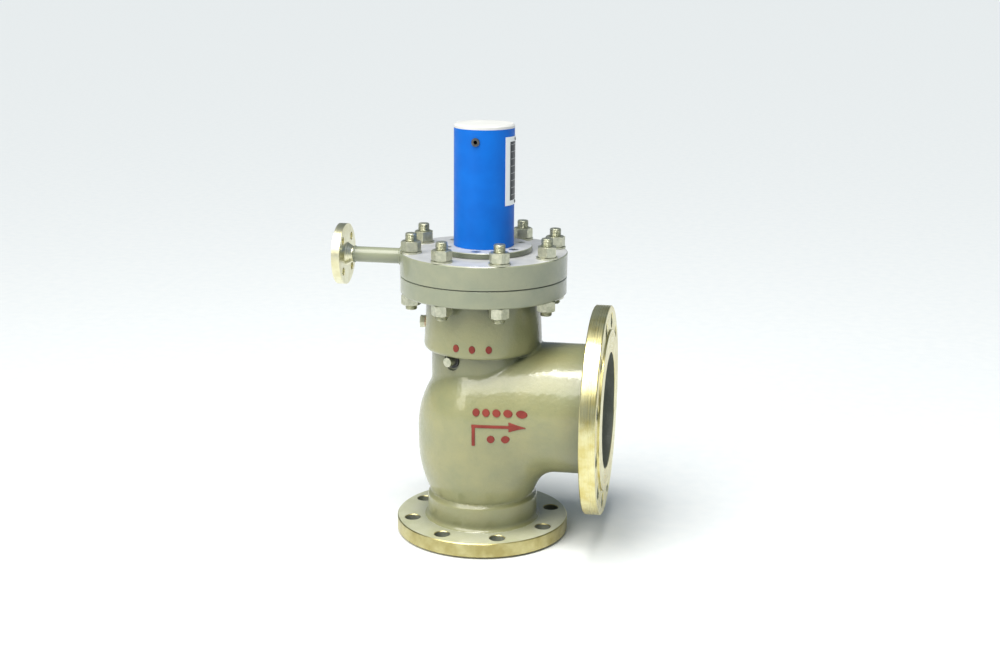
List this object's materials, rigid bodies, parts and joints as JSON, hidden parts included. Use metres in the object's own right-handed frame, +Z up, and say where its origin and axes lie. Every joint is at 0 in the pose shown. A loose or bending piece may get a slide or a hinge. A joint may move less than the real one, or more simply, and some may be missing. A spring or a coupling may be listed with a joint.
{
  "type": "pressure reducing valve",
  "caption": "Angle pressure reducing valve: flanged inlet below, larger flanged side outlet, bolted bonnet plate with a flanged sensing pipe, and a tall spring cover.",
  "frame": {"origin": "centre of the inlet flange's joint face, on the stem axis", "axes": "+Z up along the stem axis towards the spring cover, +X along the outlet branch towards its flange"},
  "size_m": [0.476, 0.36, 0.717],
  "materials": {
    "body_paint": "semi-gloss sage green machine paint over a cast skin",
    "cover_paint": "satin blue paint",
    "machined_steel": "turned steel with a light oil film",
    "stainless_steel": "fine turned stainless steel",
    "fastener_steel": "oiled steel bolting",
    "zinc_steel": "bright zinc plating",
    "spring_steel": "dark oil-hardened spring steel",
    "lid_steel": "pale satin turned metal",
    "ring_iron": "ground grey iron",
    "bronze": "bearing bronze",
    "copper": "soft copper",
    "seal_rubber": "black sealing rubber",
    "gasket": "dark jointing sheet",
    "nameplate": "blank anodised plate with a dark field"
  },
  "bodies": {
    "body": {"inlet_flange": "body_paint", "inlet_hub": "body_paint", "valve_body": "body_paint", "body_barrel": "body_paint", "bonnet_flange": "body_paint", "outlet_branch": "body_paint", "outlet_flange": "body_paint", "seat_gasket": "gasket", "seat_ring": "stainless_steel", "balance_cylinder": "stainless_steel", "bonnet_gasket": "gasket", "bonnet_plate": "body_paint", "guide_bush": "bronze", "stem_packing": "seal_rubber", "packing_gland": "bronze", "housing_gasket": "gasket", "spring_housing": "machined_steel", "housing_screws": "zinc_steel", "housing_head": "machined_steel", "bonnet_studs": "fastener_steel", "upper_washers": "fastener_steel", "upper_nuts": "fastener_steel", "lower_nuts": "fastener_steel", "sensing_pipe": "body_paint", "sensing_flange": "machined_steel", "barrel_plug": "zinc_steel", "barrel_plug_washer": "copper", "neck_plug": "zinc_steel", "neck_plug_washer": "seal_rubber"},
    "stem": {"main_plug": "stainless_steel", "plug_seal": "seal_rubber", "seal_retainer": "stainless_steel", "plug_nut": "zinc_steel", "valve_stem": "stainless_steel", "balance_piston": "stainless_steel", "balance_piston_rings": "ring_iron", "piston_nut": "zinc_steel", "sensing_piston": "stainless_steel", "sensing_piston_seal": "seal_rubber", "lower_spring_plate": "zinc_steel", "stem_top_nut": "zinc_steel", "range_spring": "spring_steel"},
    "spring_plate": {"upper_spring_plate": "zinc_steel"},
    "adjuster": {"adjusting_screw": "zinc_steel"},
    "lock_nut": {"adjusting_lock_nut": "zinc_steel"},
    "cover": {"spring_cover": "cover_paint", "cover_lid": "lid_steel", "cover_vent_screw": "zinc_steel", "nameplate": "nameplate", "nameplate_rivets": "zinc_steel"}
  },
  "joints": [
    {"name": "stem_lift", "type": "slide", "parent": "body", "child": "stem", "axis": [0, 0, 1], "range_m": [0, 0.022], "stiffness_N_per_m": 20000, "deforming": ["range_spring"]},
    {"name": "adjusting_screw_feed", "type": "slide", "parent": "body", "child": "spring_plate", "axis": [0, 0, 1], "range_m": [0, 0.02], "deforming": ["range_spring"]},
    {"name": "adjusting_screw_turn", "type": "hinge", "parent": "spring_plate", "child": "adjuster", "pos_m": [0, 0, 0.64], "axis": [0, 0, 1], "range_deg": [0, 2400.5]},
    {"name": "lock_nut_turn", "type": "hinge", "parent": "body", "child": "lock_nut", "pos_m": [0, 0, 0.674], "axis": [0, 0, 1], "range_deg": [0, 90]},
    {"name": "cover_lift", "type": "slide", "parent": "body", "child": "cover", "axis": [0, 0, 1], "range_m": [0, 0.205]}
  ],
  "couplings": [
    {"joint": "adjusting_screw_turn", "follows": "adjusting_screw_feed", "rad_per_m": 2094.4}
  ]
}
